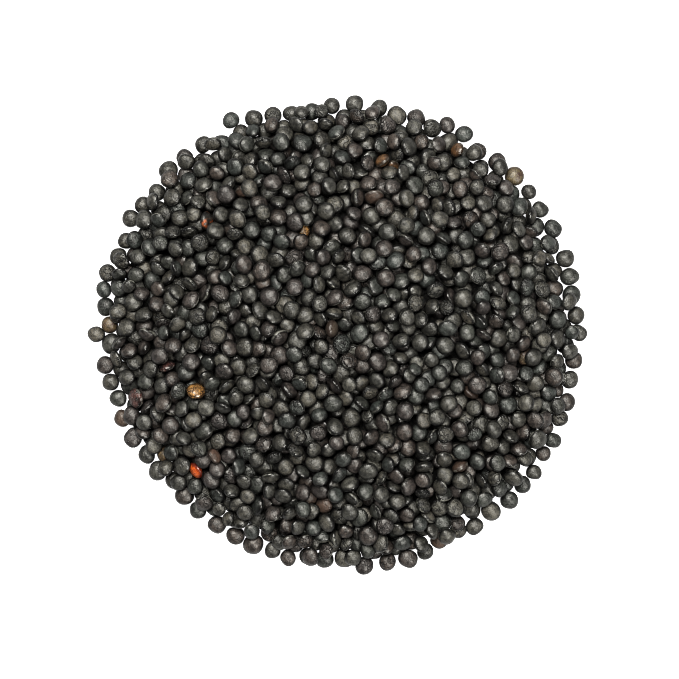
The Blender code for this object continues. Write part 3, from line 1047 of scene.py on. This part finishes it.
@dataclass(frozen=True)
class SeedForm:
    """A lens-shaped seed, as rings of points from pole to pole.

    Attributes:
        sides: Points of a ring.
        upper_rings: Reach of each ring above the keel, from the axis at 0 to the keel at 1.
        lower_rings: Reach of each ring below the keel.
        fullest: Power of the roundest profile.
        leanest: Power of the most pointed profile.
        plump: Their thickness, as a share of that in the solid.
        waves: Swells of the outline, each as its order and its most.
        dent: Depth of the deepest dent, as a share of the half thickness.
        dent_reach: How far from the axis its middle may be.
        dent_spread: How wide it is, squared.
        fold: Depth of the folds, as a share of the half thickness.
        fold_count: How close the folds are.
        fold_turn: How far their direction and place vary.
        chart_share: Size of the lower half's disc in the texture map, beside the upper half's.
        chart_fill: Radius of a disc in its square.
        chart_even: How evenly a disc is spaced, beside following the seed's curve.
        draws: Random draws for each seed.
    """

    sides: int = 20
    upper_rings: tuple[float, ...] = (0.24, 0.46, 0.65, 0.80, 0.905, 0.97)
    lower_rings: tuple[float, ...] = (0.94, 0.72, 0.40)
    fullest: float = 0.50
    leanest: float = 0.70
    plump: float = 1.06
    waves: tuple[tuple[int, float], ...] = ((2, 0.08), (3, 0.035), (4, 0.028))
    dent: float = 0.30
    dent_reach: float = 0.6
    dent_spread: float = 0.12
    fold: float = 0.10
    fold_count: float = 9
    fold_turn: float = 6
    chart_share: float = 0.62
    chart_fill: float = 0.46
    chart_even: float = 0.65
    draws: int = 14

    def rings(self) -> tuple[Array, Array]:
        """Lists the rings between the poles.

        Returns:
            Each ring's distance from the axis, and its side of the keel.
        """
        reaches = np.array([*self.upper_rings, 1.0, *self.lower_rings])
        sides = np.array([1.0] * len(self.upper_rings) + [0.0] + [-1.0] * len(self.lower_rings))
        return reaches, sides

    def points(self) -> tuple[Array, Array, Array]:
        """Lists the points of one seed, from pole to pole.

        Returns:
            Each point's distance from the axis, its turn round it and its side of the keel.
        """
        reaches, sides = self.rings()
        turns = np.tile(np.arange(self.sides) * 2 * np.pi / self.sides, len(reaches))
        reach = np.concatenate([[0.0], np.repeat(reaches, self.sides), [0.0]])
        side = np.concatenate([[1.0], np.repeat(sides, self.sides), [-1.0]])
        return reach, np.concatenate([[0.0], turns, [0.0]]), side

    def faces(self) -> list[tuple[int, ...]]:
        """Lists the faces of one seed: a fan at each pole, and squares between the rings.

        Returns:
            The points of each face.
        """
        count = len(self.rings()[0])
        last = count * self.sides + 1
        found = []
        for step in range(self.sides):
            after = (step + 1) % self.sides
            found.append((0, 1 + step, 1 + after))
            for ring in range(count - 1):
                inner, outer = 1 + ring * self.sides, 1 + (ring + 1) * self.sides
                found.append((inner + step, outer + step, outer + after, inner + after))
            inner = last - self.sides
            found.append((inner + step, last, inner + after))
        return found

    def shapes(self, seeds: Array, wrinkled: Array, random: np.random.Generator) -> Array:
        """Works out the points of many seeds in their places.

        Args:
            seeds: Centre, radius, half thickness and axis of each.
            wrinkled: How wrinkled each is, from 0 to 1.
            random: Where the draws come from.

        Returns:
            The points, seed by seed.
        """
        draw = random.random((self.draws, len(seeds), 1))
        local = self.lenses(seeds[:, 3:4], seeds[:, 4:5] * self.plump, wrinkled[:, None], draw)
        axis = seeds[:, 5:8]
        first = np.cross(axis, np.array([1.0, 0.0, 0.0]))
        first = first / np.linalg.norm(first, axis=1, keepdims=True)
        second = np.cross(axis, first)
        spin = 2 * np.pi * draw[12]
        along = first * np.cos(spin) + second * np.sin(spin)
        across = np.cross(axis, along)
        turned = np.stack([along, across, axis], 1)
        return seeds[:, None, :3] + local @ turned

    def lenses(self, radius: Array, half: Array, wrinkled: Array, draw: Array) -> Array:
        """Works out the points of many lenses, each round its own middle and lying flat.

        Args:
            radius: Radius of each.
            half: Half thickness of each.
            wrinkled: How wrinkled each is, from 0 to 1.
            draw: Random numbers from 0 to 1, for each.

        Returns:
            The points, lens by lens.
        """
        reach, turn, side = self.points()
        swell = 1.0
        for index, (order, most) in enumerate(self.waves):
            size, start = draw[2 * index], draw[2 * index + 1]
            swell = swell + most * size * np.cos(order * turn + 2 * np.pi * start)
        x = reach * np.cos(turn) * swell
        y = reach * np.sin(turn) * swell
        power = self.fullest + (self.leanest - self.fullest) * draw[6]
        lift = np.maximum(0, 1 - reach * reach) ** power * side
        dent_x, dent_y = (2 * self.dent_reach * each - self.dent_reach for each in (draw[7], draw[8]))
        near = np.exp(-((x - dent_x) ** 2 + (y - dent_y) ** 2) / self.dent_spread)
        lift = lift * (1 - self.dent * wrinkled * draw[9] * near)
        way, start = self.fold_turn * draw[10], self.fold_turn * draw[11]
        folds = np.sin(self.fold_count * (x * np.cos(way) + y * np.sin(way)) + start)
        lift = lift * (1 - self.fold * wrinkled * folds * folds)
        return np.stack([x * radius, y * radius, lift * half], 2)

    def charts(self, count: int) -> Array:
        """Lays out the texture map: for each seed two discs side by side, one for each half.

        Args:
            count: How many seeds share the map.

        Returns:
            The map's coordinates of every corner of every face, seed by seed.
        """
        wide = 1 + self.chart_share
        columns = max(1, math.ceil(math.sqrt(count / wide)))
        rows = math.ceil(count / columns)
        pitch = min(1 / (wide * columns), 1 / rows)
        reach, turn, side = self.points()
        faces = self.faces()
        corners = np.array([corner for face in faces for corner in face])
        lower = np.array([min(side[list(face)]) < 0 for face in faces for _ in face])
        curved = np.arcsin(reach[corners]) * 2 / np.pi
        out = self.chart_even * reach[corners] + (1 - self.chart_even) * curved
        out = out * self.chart_fill * np.where(lower, self.chart_share, 1.0)
        middle = np.where(lower, 1 + self.chart_share / 2, 0.5)
        unit = np.stack([middle + out * np.cos(turn[corners]), 0.5 + out * np.sin(turn[corners])], 1)
        index = np.arange(count)
        offset = np.stack([index % columns * wide, index // columns], 1)
        return (unit[None] + offset[:, None]) * pitch


def put_in_scene(name: str, data: bpy.types.ID) -> bpy.types.Object:
    """Makes an object and puts it in the scene.

    Args:
        name: Its name.
        data: Its mesh, light or camera.

    Returns:
        The object.
    """
    thing = bpy.data.objects.new(name, data)
    bpy.context.scene.collection.objects.link(thing)
    return thing


def put_mesh_in_scene(
    name: str, points: list[Any], faces: list[tuple[int, ...]], material: bpy.types.Material
) -> bpy.types.Object:
    """Makes a smooth piece and puts it in the scene.

    Args:
        name: Its name, and its mesh's.
        points: Its points.
        faces: The points of each face.
        material: Its finish.

    Returns:
        The piece.
    """
    mesh = bpy.data.meshes.new(name)
    mesh.from_pydata(points, [], faces)
    mesh.shade_smooth()
    mesh.materials.append(material)
    return put_in_scene(name, mesh)


@dataclass
class SeedHeap:
    """All the seeds of the heap, with one piece for each kind.

    Attributes:
        pixel: Size of a pixel of the photograph, in metres.
        photo: The photograph's frame.
        form: Shape of the seeds.
        seed: Start of the random draws.
        common: The common kinds, and each one's share of the seeds.
        smooth_kinds: Kinds that are never much wrinkled.
        least_shown: Area below which a seed counts as hidden from above.
        part_shown: Area that half a seed shows.
        whole_shown: Area that a whole seed shows.
        detour: How far to look for a seed that shows in the right way.
        rim_width: Width of the band in which seeds are rolled in.
        low_lying: Height below which a seed lies on the ground.
        beside: Share of the two radii at which it touches a seed beside it.
        beneath: Share of the two radii at which it touches a seed that it slips under.
        most_roll: Furthest that it rolls.
        plain_share: Share of the seeds that are hardly wrinkled.
        least_wrinkled: How wrinkled the others are at least.
        faint_wrinkles: How wrinkled a plain seed is at most.
        least_tone: Lightness of the darkest seed.
        tone_spread: How much lighter the lightest one is.
        keel_highlight_spread: How much the painted highlight along the keels varies.
        keel_highlight_loss: How much is taken off it, so that many keels have no painted highlight.
    """

    pixel: float
    photo: PhotoFrame = PhotoFrame()
    form: SeedForm = SeedForm()
    seed: int = 23
    common: tuple[tuple[SeedKind, float], ...] = (
        (SeedKind.SLATE, 0.24),
        (SeedKind.UMBER, 0.25),
        (SeedKind.ASH, 0.13),
        (SeedKind.CHARCOAL, 0.38),
    )
    smooth_kinds: tuple[SeedKind, ...] = (SeedKind.BROWN, SeedKind.ORANGE)
    least_shown: float = 3.0e-6
    part_shown: float = 7.0e-6
    whole_shown: float = 1.2e-5
    detour: float = 0.010
    rim_width: float = 1.9 * SeedSizes.diameter
    low_lying: float = 0.0018
    beside: float = 0.96
    beneath: float = 0.74
    most_roll: float = 0.0016
    plain_share: float = 0.86
    least_wrinkled: float = 0.5
    faint_wrinkles: float = 0.25
    least_tone: float = 0.72
    tone_spread: float = 0.56
    keel_highlight_spread: float = 1.6
    keel_highlight_loss: float = 0.6

    def __post_init__(self) -> None:
        """Lays the seeds and centres them as the solid is centred."""
        self.seeds, self.shown = Pour().run()
        self.middle = middle_of(self.seeds)
        self.roll_in()
        self.seeds[:, :2] -= self.middle
        self.random = np.random.default_rng(self.seed)
        self.kinds = self.choose_kinds()

    def roll_in(self) -> None:
        """Rolls each seed on the ground near the rim in until it meets another, the inner ones first."""
        outline, far = HeapForm().outline(self.seeds[:, 0], self.seeds[:, 1])
        loose = np.flatnonzero((self.seeds[:, 2] < self.low_lying) & (far > outline - self.rim_width))
        for index in loose[np.argsort(far[loose])]:
            x, y, z, radius = self.seeds[index, :4]
            inward = -self.seeds[index, :2] / far[index]
            away = self.seeds[:, :2] - (x, y)
            along = away @ inward
            aside = away @ (-inward[1], inward[0])
            touch = np.where(self.seeds[:, 2] > z + self.seeds[:, 4] / 2, self.beneath, self.beside)
            touch = touch * (radius + self.seeds[:, 3])
            room = touch * touch - aside * aside
            met = (room > 0) & (along > 0)
            free = (along - np.sqrt(np.maximum(room, 0)))[met].min(initial=self.most_roll)
            self.seeds[index, :2] += inward * max(0.0, free)

    def choose_kinds(self) -> list[SeedKind]:
        """Draws each seed's kind, and gives the odd ones their places.

        Returns:
            The kind of each seed.
        """
        draw = self.random.random(len(self.seeds))
        bounds = np.cumsum([share for _, share in self.common[:-1]])
        kinds = [self.common[index][0] for index in np.searchsorted(bounds, draw, side="right")]
        hidden = np.where(self.shown < self.least_shown, 1.0, 0.0)
        detours = {
            Showing.FACE: hidden,
            Showing.EDGE: hidden + self.detour * abs(self.seeds[:, 7]),
            Showing.PART: hidden + self.detour * abs(self.shown / self.part_shown - 1),
            Showing.BIT: hidden + self.detour * np.minimum(1, self.shown / self.whole_shown),
        }
        taken = set()
        for oddity in Oddity:
            kind, across, down, showing = oddity.value
            away = self.seeds[:, :2] - self.photo.place(across, down, self.pixel)
            order = np.argsort(np.hypot(away[:, 0], away[:, 1]) + detours[showing])
            chosen = next(int(index) for index in order if int(index) not in taken)
            taken.add(chosen)
            kinds[chosen] = kind
        return kinds

    def piece(self, kind: SeedKind) -> bpy.types.Object:
        """Builds all the seeds of one kind as one piece.

        Args:
            kind: The kind.

        Returns:
            The piece, dressed in the kind's finish.
        """
        chosen = np.array([index for index, each in enumerate(self.kinds) if each is kind])
        count = len(chosen)
        draw = self.random.random((5, count))
        much = (draw[0] > self.plain_share) & (kind not in self.smooth_kinds)
        much_wrinkled = self.least_wrinkled + (1 - self.least_wrinkled) * draw[1]
        wrinkled = np.where(much, much_wrinkled, self.faint_wrinkles * draw[1])
        points = self.form.shapes(self.seeds[chosen], wrinkled, self.random)
        points[..., 2] = np.maximum(points[..., 2], 0.0)
        per_seed = points.shape[1]
        faces = self.form.faces()
        starts = np.arange(count) * per_seed
        corners = [tuple(corner + start for corner in face) for start in starts.tolist() for face in faces]
        coordinates = points.reshape(-1, 3).tolist()
        piece = put_mesh_in_scene(kind.skin.piece_name, coordinates, corners, kind.skin.material())
        marks = {
            "reach": np.tile(self.form.points()[0], count),
            "tone": np.repeat(self.least_tone + self.tone_spread * draw[2], per_seed),
            "tint": np.repeat(draw[3], per_seed),
            "wrinkled": np.repeat(wrinkled, per_seed),
            # How strong the painted highlight along each seed's keel is.
            "keel_highlight_strength": np.repeat(np.maximum(0, draw[4] * self.keel_highlight_spread - self.keel_highlight_loss), per_seed),
        }
        for name, numbers in marks.items():
            mark = piece.data.attributes.new(name, "FLOAT", "POINT")
            mark.data.foreach_set("value", numbers.astype(np.float32))
        layer = piece.data.uv_layers.new(name="OFBake")
        layer.data.foreach_set("uv", self.form.charts(count).astype(np.float32).ravel())
        return piece

    def build(self) -> list[bpy.types.Object]:
        """Builds the piece of every kind that the heap has."""
        return [self.piece(kind) for kind in SeedKind if kind in self.kinds]


@dataclass(frozen=True)
class CoreFinish:
    """Finish of the core: as dark as seeds in deep shade, with their grain."""

    name: str = "shaded_seeds"
    deep: Colour = (0.004, 0.004, 0.004)
    faint: Colour = (0.018, 0.017, 0.015)
    seed_size: float = 0.0035
    grains: Cloud = Cloud(0.0035 / 8, 3.0, 0.6)
    grain_band: tuple[float, float] = (0.35, 0.7)
    grainy: float = 0.15
    relief: float = 0.0008
    gloss: float = 0.2
    roughness: float = 0.7
    uneven: float = 0.2

    def material(self) -> bpy.types.Material:
        """Builds the finish.

        Returns:
            The material.
        """
        graph = Graph(bpy.data.materials.new(self.name))
        place = graph.value("ShaderNodeTexCoord", output="Object")
        grain = graph.noise(place, self.grains)
        lumps = graph.value(
            "ShaderNodeTexVoronoi", {"feature": "SMOOTH_F1"}, {"Vector": place, "Scale": 1 / self.seed_size}
        )
        return graph.surface(
            {
                "Base Color": graph.mix(grain.rising(*self.grain_band), self.deep, self.faint),
                "Roughness": self.roughness + (grain - self.grains.mean) * self.uneven,
                "Specular IOR Level": self.gloss,
                "Normal": graph.relief(self.relief, 1 - lumps + grain * self.grainy),
            }
        )


@dataclass(frozen=True)
class HeapCore:
    """The dark core that the seeds of the skin lie on: a low dome with a flat foot.

    Attributes:
        middle: Middle of the heap, where the frame has its own.
        form: The heap's smooth form.
        finish: The core's finish.
        sides: Points of a ring.
        rings: Rings from the top to the edge.
        edge_share: How far out the edge is, as a share of the outline.
        foot_rise: Height of the edge above the foot.
    """

    middle: Array
    form: HeapForm = HeapForm()
    finish: CoreFinish = CoreFinish()
    sides: int = 128
    rings: int = 24
    edge_share: float = 0.884
    foot_rise: float = 0.0002

    def build(self) -> bpy.types.Object:
        """Builds the core.

        Returns:
            The piece.
        """
        turns = np.arange(self.sides) * 2 * np.pi / self.sides
        cosine, sine = np.cos(turns), np.sin(turns)
        outline, _ = self.form.outline(cosine, sine)
        points = [(0.0, 0.0, float(self.form.bed(0.0, 0.0)))]
        for ring in range(1, self.rings + 1):
            far = outline * self.edge_share * ring / self.rings
            x, y = far * cosine, far * sine
            height = np.maximum(self.form.bed(x, y), self.foot_rise)
            points += list(zip(x.tolist(), y.tolist(), height.tolist()))
        points += [(x, y, 0.0) for x, y, _ in points[-self.sides :]]
        faces: list[tuple[int, ...]] = []
        for step in range(self.sides):
            after = (step + 1) % self.sides
            faces.append((0, 1 + step, 1 + after))
            for ring in range(self.rings):
                inner, outer = 1 + ring * self.sides, 1 + (ring + 1) * self.sides
                faces.append((inner + step, outer + step, outer + after, inner + after))
        faces.append(tuple(reversed(range(len(points) - self.sides, len(points)))))
        piece = put_mesh_in_scene("seed_core", points, faces, self.finish.material())
        piece.location = (*-self.middle, 0.0)
        return piece


# The studio


@dataclass(frozen=True)
class SoftBox:
    """A square soft light that faces the heap.

    Attributes:
        name: Its name.
        azimuth: Its direction in degrees, from the photograph's right hand side, anticlockwise.
        elevation: Its height above the floor, in degrees.
        distance: How far from the heap's middle it hangs.
        size: Length of its side.
        power: Its power, in watts.
        colour: Its colour.
    """

    name: str
    azimuth: float
    elevation: float
    distance: float
    size: float
    power: float
    colour: Colour = (1.0, 0.978, 0.918)

    def build(self) -> None:
        """Hangs the light."""
        data = bpy.data.lights.new(self.name, "AREA")
        data.color = self.colour
        data.shape = "SQUARE"
        data.size = self.size
        data.energy = self.power
        turn, rise = math.radians(self.azimuth), math.radians(self.elevation)
        away = Vector((math.cos(turn) * math.cos(rise), math.sin(turn) * math.cos(rise), math.sin(rise)))
        light = put_in_scene(self.name, data)
        light.location = away * self.distance
        light.rotation_euler = away.to_track_quat("Z", "Y").to_euler()


@dataclass(frozen=True)
class Studio:
    """A plain white floor, soft lights, and a camera that looks straight down as the photograph does.

    Attributes:
        pixel: Size of a pixel of the photograph at the heap's rim, in metres.
        rim_height: Height at which the pixels have that size.
        photo: The photograph's frame.
        camera_height: Height of the camera.
        sensor: Width of its sensor, in millimetres.
        nearest: Nearest distance that it sees.
        floor_side: Length of the floor's side.
        floor_colour: Colour of the floor.
        floor_roughness: Dullness of the floor.
        floor_glow: Light of the floor itself, which keeps it white.
        air: Light of the room.
        contrast: The picture's gamma. Below 1 its dark tones are deeper.
        sharpness: Width of the picture's pixel filter.
        horizon_glow: Light of the room at the horizon.
        horizon_band: Rise of the directions between which that light fades.
        lights: The soft lights.
    """

    pixel: float
    rim_height: float
    photo: PhotoFrame = PhotoFrame()
    camera_height: float = 0.60
    sensor: float = 36.0
    nearest: float = 0.01
    floor_side: float = 4.0
    floor_colour: Colour = (0.30, 0.30, 0.30)
    floor_roughness: float = 0.9
    floor_glow: float = 1.0
    air: float = 0.01
    contrast: float = 0.75
    sharpness: float = 1.0
    horizon_glow: float = 0.75
    horizon_band: tuple[float, float] = (0.10, 0.20)
    lights: tuple[SoftBox, ...] = (
        SoftBox("overhead_box", 106.0, 66.0, 0.75, 0.40, 13.4),
        SoftBox("side_box", -45.0, 54.0, 0.70, 0.08, 5.0),
    )

    def build(self) -> None:
        """Builds the floor, the lights, the air and the camera."""
        self.build_floor()
        for light in self.lights:
            light.build()
        self.build_air()
        self.build_camera()
        self.set_picture()

    def set_picture(self) -> None:
        """Sets the picture's contrast, and keeps the fine grain of the skins sharp in it."""
        scene = bpy.context.scene
        scene.view_settings.view_transform = "Standard"
        scene.view_settings.gamma = self.contrast
        scene.cycles.filter_width = self.sharpness
        scene.cycles.denoising_prefilter = "NONE"

    def build_air(self) -> None:
        """Builds the light of the room: dim above, and pale at the horizon as the floor is."""
        world = bpy.data.worlds.new("studio_air")
        graph = Graph(world)
        way = graph.value("ShaderNodeTexCoord", output="Generated")
        rise = graph.value("ShaderNodeSeparateXYZ", {}, {"Vector": way}, "Z")
        low, high = self.horizon_band
        strength = rise.rising(high, low) * self.horizon_glow + self.air
        background = graph.node("ShaderNodeBackground", {}, {"Color": WHITE, "Strength": strength})
        graph.finish("ShaderNodeOutputWorld", background)
        bpy.context.scene.world = world

    def build_floor(self) -> None:
        """Builds the floor, a wide sheet that is no part of the object."""
        half = self.floor_side / 2
        corners = [(-half, -half, 0), (half, -half, 0), (half, half, 0), (-half, half, 0)]
        material = Graph(bpy.data.materials.new("white_floor")).surface(
            {
                "Base Color": self.floor_colour,
                "Roughness": self.floor_roughness,
                "Emission Color": WHITE,
                "Emission Strength": self.floor_glow,
            }
        )
        floor = put_mesh_in_scene("floor", corners, [(0, 1, 2, 3)], material)

    def build_camera(self) -> None:
        """Sets the camera up so that the heap's box lies where the photograph has it."""
        data = bpy.data.cameras.new("camera")
        data.sensor_width = self.sensor
        distance = self.camera_height - self.rim_height
        data.lens = self.sensor * distance / (self.photo.side * self.pixel)
        data.clip_start = self.nearest
        middle = self.photo.place(self.photo.side / 2, self.photo.side / 2, self.pixel)
        camera = put_in_scene("camera", data)
        camera.location = (middle[0], middle[1], self.camera_height)
        bpy.context.scene.camera = camera


def main() -> None:
    """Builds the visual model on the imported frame, then the studio, and reports each piece."""
    logging.basicConfig(level=logging.INFO, format="%(message)s")
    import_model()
    low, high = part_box(HEAP_NODE)
    pixel = PhotoFrame().metres_per_pixel(high.x - low.x)
    heap = SeedHeap(pixel)
    pieces = [*heap.build(), HeapCore(heap.middle).build()]
    for piece in pieces:
        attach(piece, HEAP_BODY)
        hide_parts(HEAP_NODE)
        triangles = sum(len(face.vertices) - 2 for face in piece.data.polygons)
        logging.info("%s: %d triangles", piece.name, triangles)
    Studio(pixel, SeedSizes().diameter * SeedSizes().flatness / 2).build()


if __name__ == "__main__":
    main()
